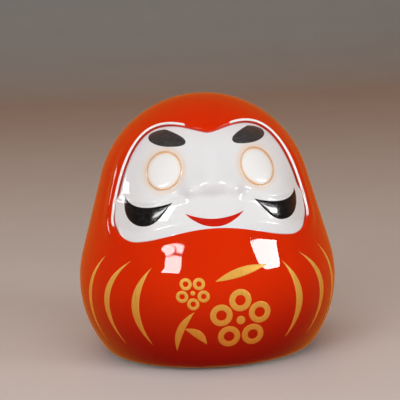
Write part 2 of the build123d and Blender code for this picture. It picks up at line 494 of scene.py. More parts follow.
def slot_ring(grow, depth):
    """A ring round the slot, on the back of the doll at this depth."""
    radius = SLOT_HEIGHT / 2 + grow
    straight = (SLOT_LENGTH - SLOT_HEIGHT) / 2
    turn = np.radians(np.linspace(-90, 90, 33))
    run = np.linspace(-straight, straight, 41)[1:-1]
    x = np.concatenate([straight + radius * np.cos(turn), -run, -straight - radius * np.cos(turn), run])
    z = np.concatenate([np.sin(turn), run * 0 + 1, -np.sin(turn), run * 0 - 1]) * radius + SLOT_LEVEL
    return front(x, z, depth) * (1, -1, 1)


def slot_cutter(mouth):
    return skin("slot_cutter", capped([slot_ring(*step) for step in mouth]))


combine(body, slot_cutter([(1.3, -12.0), (1.3, 0.5), (0.4, 0.9), (0.0, 1.6), (0.0, 9.0)]), "DIFFERENCE")
finish_mesh(body)
print("body box", [tuple(round(v, 4) for v in corner) for corner in body.bound_box][::6])

# %% [markdown]
# ## The red coat
# Glaze is a thin shell, so it gets an outside, an inside, and an edge that turns over between them.
# Round the face the edge is a soft roll that ends in the sunken floor, and behind it the potter left
# a low ridge with a groove, strongest at the sides. All three are one curve, swept along the edge.

# %% Rolled edge and ridge
EDGE_ROLL = 0.9
GLAZE_STOP = 1.5


def hood_ridge(points):
    """Height of the ridge behind the hood's edge. It fades out over the crown and under the chin."""
    gap = from_rim(points)
    x, z = np.abs(points[..., 0]), points[..., 2]
    sides = ease((z - 46) / 8) * ease((x - 14) / 16)
    strength = sides * (1 - ease((z - 78) / 12)) * (0.7 + 0.3 * ease((z - 56) / 8))
    return strength * (0.6 * np.exp(-(((gap - 3.4) / 2.4) ** 2)) - 0.25 * np.exp(-(((gap - 8) / 2) ** 2)))


roll = np.minimum(EDGE_ROLL, 0.8 * edge_depth)
coat_rings = rings_to_back(BESIDE, 0.0, COAT_RINGS, 1.5, hood_ridge)[::-1]
for turn in np.radians(np.linspace(90, 180, 9)):
    sideways = (roll - 0.2 + roll * math.cos(turn))[:, None]
    depth = roll - roll * math.sin(turn)
    ring = step_off(rim_place + rim_side * sideways, depth)
    coat_rings.append(ring + rim_out * (hood_ridge(ring) * ease(1 - depth / roll))[:, None])
buried = edge_depth + 0.3
coat_rings += [beside_rim(-0.2, buried), beside_rim(0.35, buried), beside_rim(0.9, GLAZE + 0.05)]
coat_rings += rings_to_back(BESIDE, GLAZE + 0.05, HIDDEN_RINGS, 1.2)
coat = skin("red_hood_glaze", coat_rings)

below = lathe("below_the_foot", [(0, GLAZE_STOP), (WIDTH, GLAZE_STOP), (WIDTH, -9), (0, -9)], 48)
combine(coat, below, "DIFFERENCE")
combine(coat, slot_cutter([(1.5, -12.0), (1.5, -0.2), (0.8, 0.02), (0.3, 0.25), (0.1, 0.7), (0.1, 9.0)]),
        "DIFFERENCE")
finish_mesh(coat)
print("coat:", len(coat.data.polygons), "faces")

# %% [markdown]
# ## Where the glaze runs thin, and the rim's painted highlight
# Molten glaze draws back from a sharp edge, so the white body shows through along the hood's rim, and
# it gathers at the foot of the wall round the face. Along the rim a white band is also painted as a
# painted highlight, for the light that the rolled edge catches. Both are stored on the mesh as two
# attributes that the material reads.


# %% Rim white, painted rim highlight and pooled glaze attributes
def store(piece, name, values):
    layer = piece.data.attributes.new(name, "FLOAT", "POINT")
    layer.data.foreach_set("value", np.ascontiguousarray(values, dtype=np.float32))


def mesh_points(piece):
    points = np.empty(len(piece.data.vertices) * 3)
    piece.data.vertices.foreach_get("co", points)
    return points.reshape(-1, 3) / MM


coat_points = mesh_points(coat)
skin_place, skin_out = cast(coat_points - CORE)
sunk = np.einsum("ij,ij->i", skin_place - coat_points, skin_out)
gap = from_rim(coat_points)
x, z = np.abs(coat_points[:, 0]), coat_points[:, 2]
along_rim = np.maximum(ease((x - 7.5) / 2.5) * ease((z - 80) / 6), ease((z - 54) / 4))
along_rim *= ease((x - 7.5) / 2.5)
# Painted highlight: a narrow white band along the rolled edge, where it would catch the light.
painted_rim_highlight = np.exp(-(((gap - 0.36) / 0.29) ** 2)) * ease((0.7 - sunk) / 0.35)
white_wall = (gap < 0.5) * ease((sunk - 0.2) / 0.3) * (1 - ease((x - 20) / 8) * ease((z - 60) / 8))
rim_white_and_highlight = np.maximum(painted_rim_highlight, white_wall) * along_rim
store(coat, "rim_white_and_painted_highlight", rim_white_and_highlight)
store(coat, "pooled_glaze", ease((sunk - 0.35) / 0.5) * ease((x - 9) / 6))
print("points of thin glaze:", int((rim_white_and_highlight > 0.5).sum()))

# %% [markdown]
# ## Painted features
# Brows, moustaches and mouth are enamel: one loaded stroke each, a fifth of a millimetre thick, with
# an edge that thins out. Each is a closed skin between two edge curves. Its rings run from tip to
# tip, and every ring is a flat lens that lies on the relief of the face.

# %% Enamel shapes
PAINT = 0.2
UNDER = 0.15


def lens_rings(edge_one, edge_two, surface, sides=28, thickness=PAINT):
    """Lens-shaped rings from one edge to the other, laid on a surface function."""
    turn = np.linspace(0, 2 * math.pi, sides, endpoint=False)
    across = (1 - np.cos(turn)) / 2
    top = np.sin(turn)
    height = np.where(top > 0, thickness * np.abs(top) ** 0.6, -UNDER * np.abs(top) ** 0.6)
    rings = []
    for one, two in zip(edge_one, edge_two):
        x, z = (one[:, None] + (two - one)[:, None] * across)
        width = min(1, np.linalg.norm(two - one) / 0.8)
        rings.append(surface(x, z, height * (0.25 + 0.75 * width)))
    return rings


def spread(count):
    """Shares from 0 to 1, closer together at both ends."""
    return (1 - np.cos(np.linspace(0, math.pi, count))) / 2


def along(spans, count=90):
    """Points along Bezier spans that follow each other, closer together at both ends."""
    fine = np.vstack([bezier(span, np.linspace(0, 1, 200)) for span in spans])
    walked = np.concatenate([[0], np.cumsum(np.linalg.norm(np.diff(fine, axis=0), axis=1))])
    where = spread(count) * walked[-1]
    return np.stack([np.interp(where, walked, axis) for axis in fine.T], axis=-1)


BROW_TOP = [[(9.0, 88.0), (9.0, 89.6), (13.2, 91.4), (16.2, 92.3)],
            [(16.2, 92.3), (19.5, 91.9), (22.7, 90.8), (22.7, 88.9)]]
BROW_FOOT = [[(9.0, 88.0), (9.0, 86.4), (11.8, 86.1), (15.4, 86.1)],
             [(15.4, 86.1), (19.0, 86.1), (22.7, 87.2), (22.7, 88.9)]]
MOUSTACHE_TOP = [[(15.6, 66.0), (23.0, 63.6), (31.5, 62.6), (32.9, 67.6)]]
MOUSTACHE_FOOT = [[(15.6, 66.0), (19.5, 62.0), (22.0, 57.0), (27.4, 57.0)],
                  [(27.4, 57.0), (32.5, 57.0), (34.6, 61.5), (32.9, 67.6)]]


def arc_edge(tip, middle, count=110):
    """An arc from the left tip to the right tip that dips to a height in the middle."""
    rise = tip[1] - middle
    radius = (tip[0] ** 2 + rise**2) / (2 * rise)
    reach = math.asin(tip[0] / radius)
    turn = (2 * spread(count) - 1) * reach
    return np.stack([radius * np.sin(turn), middle + radius - radius * np.cos(turn)], axis=-1)


painted = {}
for side, sign in (("left", -1), ("right", 1)):
    mirror = np.array([sign, 1])
    brow_edges = [along(edge) * mirror for edge in (BROW_TOP, BROW_FOOT)]
    painted["eyebrow_" + side] = skin("eyebrow_enamel_" + side, lens_rings(*brow_edges, on_face))
    tips = [along(edge) * mirror for edge in (MOUSTACHE_TOP, MOUSTACHE_FOOT)]
    painted["moustache_" + side] = skin("moustache_enamel_" + side, lens_rings(*tips, on_face))
lips = [arc_edge((11.2, 61.9), middle) for middle in (59.7, 56.9)]
painted["mouth"] = skin("mouth_enamel", lens_rings(*lips, on_face))
print("painted:", ", ".join(painted))

# %% [markdown]
# ## Eye outlines
# The eyes of a new daruma are blank, and only a thin brown line goes round each. The line is a ring
# with no ends, so its rings join up in a circle instead of closing at two poles. The brush pressure
# changes a little on the way round, which keeps the line from looking printed.


# %% Eye rings
def eye_edge(grow, sign, count=180):
    angle = np.linspace(0, 2 * math.pi, count, endpoint=False)
    pressure = 1 + 0.25 * np.sin(angle * 2 + sign) + 0.12 * np.sin(angle * 5 + 2 * sign)
    across = (EYE_HALF[0] - EYE_LINE / 2 + grow * pressure) * np.cos(angle)
    up = (EYE_HALF[1] - EYE_LINE / 2 + grow * pressure) * np.sin(angle)
    x = EYE[0] + across * math.cos(EYE_TILT) - up * math.sin(EYE_TILT)
    z = EYE[1] + across * math.sin(EYE_TILT) + up * math.cos(EYE_TILT)
    return np.stack([sign * x, z], axis=-1)


for side, sign in (("left", -1), ("right", 1)):
    edges = [eye_edge(grow, sign) for grow in (-EYE_LINE / 2, EYE_LINE / 2)]
    rings = lens_rings(*edges, on_face, sides=14, thickness=0.12)
    painted["eye_outline_" + side] = skin("eye_line_" + side, rings, looped=True)
print("eye lines:", len(painted["eye_outline_left"].data.polygons), "faces each")

# %% [markdown]
# ## One class for all node trees
# Node trees are sums and products, and those read best as Python. This class holds one output of a
# node. Arithmetic on it adds Math nodes, and one method adds any other node with its settings and
# sockets. The same class serves Geometry Nodes and materials.


# %% Node expressions
class Wire:
    """An output of a node. A wire without an output is the tree's blank starting point."""

    def __init__(self, tree, socket=None):
        self.tree, self.socket = tree, socket

    def node(self, kind, settings=None, inputs=None, output=0):
        made = self.tree.nodes.new(kind)
        for key, value in (settings or {}).items():
            setattr(made, key, value)
        for key, value in (inputs or {}).items():
            if isinstance(value, Wire):
                self.tree.links.new(value.socket, made.inputs[key])
            else:
                made.inputs[key].default_value = value
        return Wire(self.tree, made.outputs[output])

    def maths(self, operation, *values):
        return self.node("ShaderNodeMath", {"operation": operation}, dict(enumerate(values)))

    def __add__(self, other):
        return self.maths("ADD", self, other)

    def __sub__(self, other):
        return self.maths("SUBTRACT", self, other)

    def __mul__(self, other):
        return self.maths("MULTIPLY", self, other)

    def __truediv__(self, other):
        return self.maths("DIVIDE", self, other)

    def __pow__(self, other):
        return self.maths("POWER", self, other)

    def __rsub__(self, other):
        return self.maths("SUBTRACT", other, self)

    def __gt__(self, other):
        return self.maths("GREATER_THAN", self, other)

    __radd__, __rmul__ = __add__, __mul__

    def sine(self):
        return self.maths("SINE", self)

    def cosine(self):
        return self.maths("COSINE", self)

    def root(self):
        return self.maths("SQRT", self.maths("MAXIMUM", self, 0.0))

    def blend(self, low, high):
        """This wire, from 0 to 1, as a value from low to high."""
        return low + self * (high - low)

    def eased(self, start, end):
        """0 before start and 1 after end, with a smooth step between them."""
        settings = {"interpolation_type": "SMOOTHSTEP"}
        return self.node("ShaderNodeMapRange", settings, {0: self, 1: start, 2: end, 3: 0.0, 4: 1.0})

    def split(self):
        return [self.node("ShaderNodeSeparateXYZ", inputs={0: self}, output=axis) for axis in range(3)]

    def joined(self, x, y, z):
        return self.node("ShaderNodeCombineXYZ", inputs={0: x, 1: y, 2: z})

    def colour_mix(self, first, second):
        """Two colours mixed by this wire."""
        first, second = [c if isinstance(c, Wire) else (*c, 1) for c in (first, second)]
        return self.node("ShaderNodeMix", {"data_type": "RGBA"}, {0: self, 6: first, 7: second}, output=2)


print("node class ready")

# %% [markdown]
# ## Laying gold on the robe
# Each stroke and leaf is drawn flat and then pressed on to the belly. The pressing is the same for
# all of them, so it is one function that adds nodes: the outline's formula again, this time as a
# node expression. The strokes at the sides are drawn in planes turned round the doll.


# %% Pressing on to the belly, as nodes
def press_on(across, height, rise, azimuth):
    """The place on the belly for a drawn point, standing this far out, in a plane turned by azimuth."""
    arc = BELLY_RADIUS * MM + rise
    level = height - belly[1] * MM
    waist = arc * math.sin(shoulder)
    on_belly = belly[0] * MM + (arc * arc - level * level).root()
    neck_radius = (HEAD_RADIUS * MM + rise) * math.cos(shoulder)
    neck_height = head[1] * MM + (HEAD_RADIUS * MM + rise) * math.sin(shoulder)
    on_line = neck_radius - (height - neck_height) * math.tan(shoulder)
    above = level > waist
    radius = on_belly + above * (on_line - on_belly)
    inwards = (radius * radius - across * across).root()
    cos, sin = azimuth.cosine(), azimuth.sine()
    x = across * cos + inwards * sin
    y = across * sin - inwards * cos
    return across.joined(x, y, height)


def new_tree(name, inputs):
    """An empty Geometry Nodes tree with named inputs. Returns a wire for each of them."""
    tree = bpy.data.node_groups.new(name, "GeometryNodeTree")
    tree.interface.new_socket("Geometry", in_out="OUTPUT", socket_type="NodeSocketGeometry")
    for label, kind in inputs:
        tree.interface.new_socket(label, in_out="INPUT", socket_type="NodeSocket" + kind)
    entry = tree.nodes.new("NodeGroupInput")
    return {label: Wire(tree, entry.outputs[label]) for label, _ in inputs}


def close_tree(shape, material):
    """Realizes, sets the material, and leads the result out of the tree."""
    real = shape.node("GeometryNodeRealizeInstances", inputs={0: shape})
    painted = real.node("GeometryNodeSetMaterial", inputs={0: real, "Material": material})
    leave = shape.tree.nodes.new("NodeGroupOutput")
    shape.tree.links.new(painted.socket, leave.inputs[0])


def grow(name, tree, values):
    """Runs a tree on an empty mesh with these inputs and keeps the result as a plain mesh."""
    piece = bpy.data.objects.new(name, bpy.data.meshes.new(name))
    bpy.context.scene.collection.objects.link(piece)
    modifier = piece.modifiers.new("Grow", "NODES")
    modifier.node_group = tree
    for item in tree.interface.items_tree:
        if item.item_type == "SOCKET" and item.in_out == "INPUT":
            modifier[item.identifier] = values[item.name]
    depsgraph = bpy.context.evaluated_depsgraph_get()
    depsgraph.update()
    made = bpy.data.meshes.new_from_object(piece.evaluated_get(depsgraph))
    piece.modifiers.remove(modifier)
    made.materials.clear()
    made.materials.append(values["Material"])
    made.polygons.foreach_set("material_index", [0] * len(made.polygons))
    piece.data = made
    return finish_mesh(piece)


print("press_on works on", (BELLY_RADIUS, HEAD_RADIUS))

# %% [markdown]
# ## The brush stroke tree
# A line with evenly spaced points is the brush's path and a circle is its section. Both carry their
# own share of the way as an attribute. Once Curve to Mesh has joined them, those two numbers say
# where every point belongs: along the stroke, and across it from one bowed edge to the other.


# %% Brush stroke tree
def share_of_way(curve):
    """Stores how far each point is along its own curve. Returns the curve and the number."""
    factor = curve.node("GeometryNodeSplineParameter")
    capture = curve.tree.nodes.new("GeometryNodeCaptureAttribute")
    capture.capture_items.new("FLOAT", "Share")
    curve.tree.links.new(curve.socket, capture.inputs[0])
    curve.tree.links.new(factor.socket, capture.inputs[1])
    return Wire(curve.tree, capture.outputs[0]), Wire(curve.tree, capture.outputs[1])


def lens_height(turn, thickness):
    """Height of a painted section at this turn: proud above, and let into the glaze below."""
    top = turn.sine()
    upper = top.maths("MAXIMUM", top, 0.0) ** 0.6
    lower = (0 - top).maths("MAXIMUM", 0 - top, 0.0) ** 0.6
    return upper * thickness - lower * (UNDER * MM)


def brush_stroke_tree():
    wires = new_tree("Brush stroke", [
        ("Start", "Vector"), ("End", "Vector"), ("Outer bow", "Float"), ("Inner bow", "Float"),
        ("Thickness", "Float"), ("Azimuth", "Float"), ("Steps", "Int"), ("Material", "Material")])
    blank = wires["Start"]
    line = blank.node("GeometryNodeCurvePrimitiveLine")
    line = line.node("GeometryNodeResampleCurve", inputs={"Curve": line, "Count": wires["Steps"]})
    path, way = share_of_way(line)
    circle = blank.node("GeometryNodeCurvePrimitiveCircle", inputs={"Resolution": 20, "Radius": 0.001})
    section, round_way = share_of_way(circle)
    tube = blank.node("GeometryNodeCurveToMesh", inputs={0: path, 1: section})

    share = (1 - (way * math.pi).cosine()) * 0.5
    (x0, _, z0), (x1, _, z1) = wires["Start"].split(), wires["End"].split()
    run, rise = x1 - x0, z1 - z0
    length = (run * run + rise * rise).root()
    turn = round_way * (2 * math.pi)
    across = (1 - turn.cosine()) * 0.5
    arch = share * (1 - share) * 4
    bow = across.blend(wires["Outer bow"], wires["Inner bow"]) * arch
    x = x0 + run * share - rise / length * bow
    z = z0 + rise * share + run / length * bow
    height = lens_height(turn, wires["Thickness"]) * (0.2 + 0.8 * arch ** 0.4)
    place = press_on(x, z, height, wires["Azimuth"])
    shaped = blank.node("GeometryNodeSetPosition", inputs={0: tube, "Position": place})
    joined = blank.node("GeometryNodeMergeByDistance", inputs={0: shaped, "Distance": 1e-6})
    close_tree(joined, wires["Material"])
    return blank.tree


stroke_tree = brush_stroke_tree()
print("brush stroke tree:", len(stroke_tree.nodes), "nodes")

# %% [markdown]
# ## The petals tree
# The blossom is one petal, repeated. The petal is a flat ring with a lens section, and Instance on
# Points puts a copy on each corner of a pentagon. A dot makes the heart. Only after the copies are
# real geometry is the whole flower pressed on to the belly, so that it bends with the surface.


# %% Ring of petals tree
def petals_tree():
    wires = new_tree("Ring of petals", [
        ("Centre", "Vector"), ("Ring radius", "Float"), ("Petal", "Float"), ("Window", "Float"),
        ("Heart", "Float"), ("Turn", "Float"), ("Thickness", "Float"), ("Petals", "Int"),
        ("Material", "Material")])
    blank = wires["Centre"]
    circle = "GeometryNodeCurvePrimitiveCircle"
    path, way = share_of_way(blank.node(circle, inputs={"Resolution": 56, "Radius": 0.001}))
    section, round_way = share_of_way(blank.node(circle, inputs={"Resolution": 16, "Radius": 0.0003}))
    ring = blank.node("GeometryNodeCurveToMesh", inputs={0: path, 1: section})
    angle, turn = way * (2 * math.pi), round_way * (2 * math.pi)
    middle = (wires["Petal"] + wires["Window"]) * 0.5
    radius = middle + (wires["Petal"] - wires["Window"]) * 0.5 * turn.cosine()
    height = lens_height(turn, wires["Thickness"])
    local = radius.joined(radius * angle.cosine(), radius * angle.sine(), height)
    petal = blank.node("GeometryNodeSetPosition", inputs={0: ring, "Position": local})

    corners = blank.node("GeometryNodeMeshCircle", inputs={"Vertices": wires["Petals"],
                                                           "Radius": wires["Ring radius"]})
    spin = blank.joined(0.0, 0.0, wires["Turn"])
    corners = blank.node("GeometryNodeTransform", inputs={"Geometry": corners, "Rotation": spin})
    copies = blank.node("GeometryNodeInstanceOnPoints", inputs={"Points": corners, "Instance": petal})

    ball = blank.node("GeometryNodeMeshUVSphere", inputs={"Segments": 40, "Rings": 20, "Radius": 1.0})
    half = (wires["Thickness"] + UNDER * MM) * 0.5
    size = blank.joined(wires["Heart"], wires["Heart"], half)
    lift = blank.joined(0.0, 0.0, half - UNDER * MM)
    dot = blank.node("GeometryNodeTransform", inputs={"Geometry": ball, "Scale": size, "Translation": lift})

    flower = blank.tree.nodes.new("GeometryNodeJoinGeometry")
    for part in (copies, dot):
        blank.tree.links.new(part.socket, flower.inputs[0])
    flower = Wire(blank.tree, flower.outputs[0])
    flower = blank.node("GeometryNodeRealizeInstances", inputs={0: flower})
    across, up, proud = blank.node("GeometryNodeInputPosition").split()
    x, _, z = wires["Centre"].split()
    place = press_on(across + x, up + z, proud, proud * 0.0)
    pressed = blank.node("GeometryNodeSetPosition", inputs={0: flower, "Position": place})
    close_tree(pressed, wires["Material"])
    return blank.tree


petal_tree = petals_tree()
print("ring of petals tree:", len(petal_tree.nodes), "nodes")

# %% [markdown]
# ## Gold on the robe
# Three strokes at each side stand for the folds of the robe, and a plum-blossom sprig fills the
# front. A real daruma has a lucky word there, but ornament does the same job without any writing.
# The sizes are those of the engineering model: for a stroke the plane that it is drawn in, its two
# ends, how far its outer edge reaches, and its thickness.

# %% Strokes, leaves and flowers
GOLD_STROKES = [
    (62.0, (-4.2, 44.8), (1.0, 8.9), 6.9, 2.6),
    (47.0, (-5.5, 44.1), (0.5, 10.4), 8.0, 3.2),
    (33.0, (-2.9, 42.2), (-1.0, 11.6), 5.8, 3.5),
]
FLOWERS = [
    ((7.6, 21.6), 7.8, 4.3, 2.0, 1.7, 0.0),
    ((-10.2, 33.0), 4.2, 2.3, 1.0, 0.9, 36.0),
]
LEAVES = [
    ((-16.5, 9.5), (-9.8, 25.8), (3.6, 0.8)),
    ((-13.6, 19.0), (-5.4, 12.4), (2.9, -0.3)),
    ((-1.6, 37.0), (18.6, 41.6), (2.4, -1.0)),
]
gold = bpy.data.materials.new("gold_lustre")


def brush_stroke(name, start, end, bows, azimuth):
    values = {"Start": (start[0] * MM, 0, start[1] * MM), "End": (end[0] * MM, 0, end[1] * MM),
              "Outer bow": bows[0] * MM, "Inner bow": bows[1] * MM, "Thickness": PAINT * MM,
              "Azimuth": math.radians(azimuth), "Steps": 120, "Material": gold}
    return grow(name, stroke_tree, values)


gilded = {}
for number, (azimuth, top, bottom, reach, thickness) in enumerate(GOLD_STROKES, start=1):
    middle = (top[0] + bottom[0]) / 2
    bows = (reach - middle, reach - thickness - middle)
    for side, sign in (("left", -1), ("right", 1)):
        ends = [(sign * x, z) for x, z in (top, bottom)]
        signed = [sign * bow for bow in bows]
        name = f"gold_fold_{side}_{number}"
        gilded[name] = brush_stroke(name, *ends, signed, sign * azimuth)
        gilded[name]["node"] = f"gold_stroke_{side}_{number}"
for number, (start, end, bows) in enumerate(LEAVES, start=1):
    name = f"gold_leaf_{number}"
    gilded[name] = brush_stroke(name, start, end, bows, 0.0)
    gilded[name]["node"] = "gold_blossom"
for number, (centre, ring, petal, window, heart, turn) in enumerate(FLOWERS, start=1):
    name = f"gold_flower_{number}"
    values = {"Centre": (centre[0] * MM, 0, centre[1] * MM), "Ring radius": ring * MM,
              "Petal": petal * MM, "Window": window * MM, "Heart": heart * MM,
              "Turn": math.radians(90 + turn), "Thickness": PAINT * MM, "Petals": 5, "Material": gold}
    gilded[name] = grow(name, petal_tree, values)
    gilded[name]["node"] = "gold_blossom"
print("gold pieces:", len(gilded), "with", sum(len(p.data.polygons) for p in gilded.values()), "faces")

# %% [markdown]
# ## The stopper
# A coin bank is emptied through a hole in its base, and a soft moulded plug closes it. It is turned
# in one profile: a flange that sits in the recess, a neck, a lip that snaps in behind the wall, and
# a dished top that saves material and lets the lip flex. A small bar across the flange is for
# fingernails to pull on.

# %% Moulding the stopper
STOPPER_RADIUS = HOLE_RADIUS - 0.05
STOPPER_FLANGE = 19.0
FLANGE_THICKNESS = 1.2
STOPPER_TOP = floor_level + 3.0
PULL_BAR = (12.0, 3.0, 0.9)

flange_low = RECESS - FLANGE_THICKNESS
plug = [(0, 4.6), (11.4, 4.6)] + corner((11.4, 5.6), 1.0, -90, 0) + [(12.6, STOPPER_TOP - 0.6)]
plug += corner((13.2, STOPPER_TOP - 0.6), 0.6, 180, 45)
plug += corner((STOPPER_RADIUS - 0.5, floor_level + 0.9), 0.5, 45, -60)
plug += [(14.45, floor_level + 0.05), (14.4, RECESS + 0.5)] + corner((14.9, RECESS + 0.5), 0.5, 180, 270)
plug += corner((STOPPER_FLANGE - 0.5, RECESS - 0.5), 0.5, 90, 0, 5)
plug += corner((STOPPER_FLANGE - 0.45, flange_low + 0.45), 0.45, 0, -90, 5)
for outer, inner, groove in ((16.4, 15.4, 0.25), (9.2, 8.2, 0.2)):
    plug += [(outer, flange_low), (outer - 0.3, flange_low + groove)]
    plug += [(inner + 0.3, flange_low + groove), (inner, flange_low)]
plug.append((0, flange_low))
stopper = lathe("base_plug", plug, 160)


def pull_bar():
    """A bar with round ends, narrower towards its outer face."""
    length, width, drop = PULL_BAR
    angle = np.linspace(0, 2 * math.pi, 64, endpoint=False) + math.pi / 64
    rings = []
    for shrink, depth in ((0, -0.4), (0, drop - 0.35), (0.08, drop - 0.15), (0.3, drop)):
        radius = width / 2 - shrink
        x = np.sign(np.cos(angle)) * (length - width) / 2 + radius * np.cos(angle)
        level = np.full_like(x, flange_low - depth)
        rings.append(np.stack([x, radius * np.sin(angle), level], axis=-1))
    return skin("pull_bar", capped(rings))


combine(stopper, pull_bar(), "UNION")
finish_mesh(stopper, 35)
print("stopper:", len(stopper.data.polygons), "faces, lowest point",
      round(mesh_points(stopper)[:, 2].min(), 2), "mm")

# %% [markdown]
# ## Materials: a common start
# Glazed clay is two layers. Below is a coloured, slightly uneven body, and above it lies clear glass.
# The Principled shader has exactly those: its base and its coat. Each finish below starts from one
# function that makes the shader and hands over the object's own coordinates, in millimetres.


# %% Starting a finish
def tint(red, green, blue):
    """A colour given as 0 to 255 on screen, as the linear values that a shader wants."""
    shares = [value / 255 for value in (red, green, blue)]
    return tuple(s / 12.92 if s <= 0.04045 else ((s + 0.055) / 1.055) ** 2.4 for s in shares)


def start_finish(name, material=None, **constants):
    """A material with a Principled shader. Returns it, the shader and the place in millimetres."""
    material = material or bpy.data.materials.new(name)
    material.use_nodes = True
    tree = material.node_tree
    shader = tree.nodes["Principled BSDF"]
    for label, value in constants.items():
        shader.inputs[label.replace("_", " ")].default_value = value
    blank = Wire(tree)
    place = blank.node("ShaderNodeTexCoord", output="Object")
    place = place.node("ShaderNodeVectorMath", {"operation": "SCALE"}, {0: place, 3: 1 / MM})
    return material, shader, place


def feed(shader, **wires):
    for label, wire in wires.items():
        wire.tree.links.new(wire.socket, shader.inputs[label.replace("_", " ")])


def noise(place, scale, detail=2.0, rough=0.5):
    """Soft noise from 0 to 1. The scale is in lumps per millimetre."""
    inputs = {"Vector": place, "Scale": scale, "Detail": detail, "Roughness": rough}
    return place.node("ShaderNodeTexNoise", inputs=inputs)


def bumped(height, distance, strength=1.0):
    """A Normal from a height field, with the distance in millimetres."""
    inputs = {"Height": height, "Distance": distance * MM, "Strength": strength}
    return height.node("ShaderNodeBump", inputs=inputs)


def attribute(place, name):
    return place.node("ShaderNodeAttribute", {"attribute_name": name}, output="Fac")


print("warm white in linear values:", [round(v, 3) for v in tint(240, 236, 230)])

# %% [markdown]
# ## White porcelain
# The face is white clay under clear glaze. Round each eye a breath of peach was sprayed before the
# firing, and it is a function of the distance from the eye's outline. The foot ring and the inside
# were never glazed, so they are matt and a little warmer. An attribute says where that is.

# %% White porcelain finish
body_points = mesh_points(body)
body_place, body_out = cast(body_points - CORE)
body_sunk = np.einsum("ij,ij->i", body_place - body_points, body_out)
level = body_points[:, 2]
bare = np.maximum(ease((body_sunk - 3.6) / 0.4) * (level > 2.2), ease((1.9 - level) / 0.3))
inside_foot = (np.hypot(body_points[:, 0], body_points[:, 1]) < ring_inner + 0.2) & (level < 9)
store(body, "bare_clay", np.maximum(bare, inside_foot * ease((level - 2.8) / 0.4)))


def white_porcelain():
    material, shader, place = start_finish("white_porcelain", IOR=1.5, Coat_Roughness=0.02, Coat_IOR=1.55,
                                           Specular_IOR_Level=0.25)
    x, y, z = place.split()
    dx = x.maths("ABSOLUTE", x) - EYE[0]
    dz = z - EYE[1]
    across = (dx * math.cos(EYE_TILT) + dz * math.sin(EYE_TILT)) / EYE_HALF[0]
    up = (dz * math.cos(EYE_TILT) - dx * math.sin(EYE_TILT)) / EYE_HALF[1]
    reach = (across * across + up * up).root()
    in_front = (0 - y).eased(5.0, 12.0)
    halo = reach.eased(0.72, 0.98) * (1 - reach.eased(0.98, 1.42)) * in_front
    halo = halo * noise(place, 0.35).blend(0.55, 1.25)
    eyeball = (1 - reach.eased(0.85, 0.98)) * in_front
    cloud = noise(place, 0.08, 3.0)
    white = cloud.colour_mix(tint(236, 237, 240), tint(244, 244, 245))
    white = eyeball.colour_mix(white, tint(250, 250, 250))
    white = (halo * 0.5).colour_mix(white, tint(248, 208, 168))
    bare = attribute(place, "bare_clay")
    clay = noise(place, 1.6, 5.0).colour_mix(tint(214, 202, 184), tint(232, 224, 210))
    colour = bare.colour_mix(white, clay)
    speck = noise(place, 1.1, 2.0).eased(0.74, 0.80) * bare
    colour = (speck * 0.35).colour_mix(colour, tint(150, 118, 88))
    feed(shader, Base_Color=colour, Roughness=bare.blend(0.3, 0.72), Coat_Weight=1 - bare,
         Normal=bumped(noise(place, 0.11, 2.0) + noise(place, 5.0, 4.0) * bare * 0.1, 0.25))
    return material


body.data.materials.clear()
body.data.materials.append(white_porcelain())
print("bare clay on", int((bare > 0.5).sum()), "of", len(bare), "points")

# %% [markdown]
# ## Red glaze
# The red is bright and a little orange where the coat is even, and it deepens where the melt pooled at
# the foot of the wall. Towards the ground it is painted darker, as painted shade under the belly. On the
# rim it is painted white: partly the white body where the glaze has drawn back, partly a painted
# highlight. Two sizes of noise give the cloudiness and the fine specks that a fired colour always has,
# and a slow bump makes reflections swim slightly. All the gloss is in the coat, which keeps the red clear.


# %% Red glaze finish
def red_glaze():
    material, shader, place = start_finish("red_glaze", IOR=1.5, Coat_Roughness=0.02, Coat_IOR=1.55,
                                           Specular_IOR_Level=0.0)
    _, _, z = place.split()
    # Painted shade: the red turns darker towards the ground, for the shadow under the belly.
    low = 1 - z.eased(0.0, 40.0)
    cloud = noise(place, 0.06, 3.0)
    red = cloud.colour_mix(tint(220, 40, 2), tint(230, 50, 3))
    red = (low * 0.9).colour_mix(red, tint(136, 4, 4))
    speck = noise(place, 3.2, 3.0).eased(0.60, 0.72)
    red = (speck * 0.10).colour_mix(red, tint(244, 80, 24))
    pooled = attribute(place, "pooled_glaze")
    red = (pooled * 0.6).colour_mix(red, tint(150, 18, 8))
    # Painted highlight: the rim is painted near-white, partly for the white body showing where the glaze
    # draws back and partly for the light the rolled edge catches.
    rim_white_and_highlight = attribute(place, "rim_white_and_painted_highlight")
    ragged = (rim_white_and_highlight * noise(place, 0.9, 2.0).blend(0.75, 1.25)).eased(0.30, 0.60)
    colour = ragged.colour_mix(red, tint(255, 254, 252))
    waves = noise(place, 0.045, 1.0) + noise(place, 0.22, 2.0) * 0.12
    feed(shader, Base_Color=colour, Roughness=noise(place, 0.5).blend(0.28, 0.36),
         Coat_Weight=noise(place, 0.05).blend(0.92, 1.0), Normal=bumped(waves, 0.07))
    return material


coat.data.materials.clear()
coat.data.materials.append(red_glaze())
print("red glaze made")

# %% [markdown]
# ## Enamels
# The brows are a drier black, put on with a loaded brush that left faint streaks, and the moustaches
# carry more flux, so they shine. The mouth is the robe's red again. All are thin, and so their
# edges fire a little translucent: the brush streaks run along the stroke and thin the colour there.


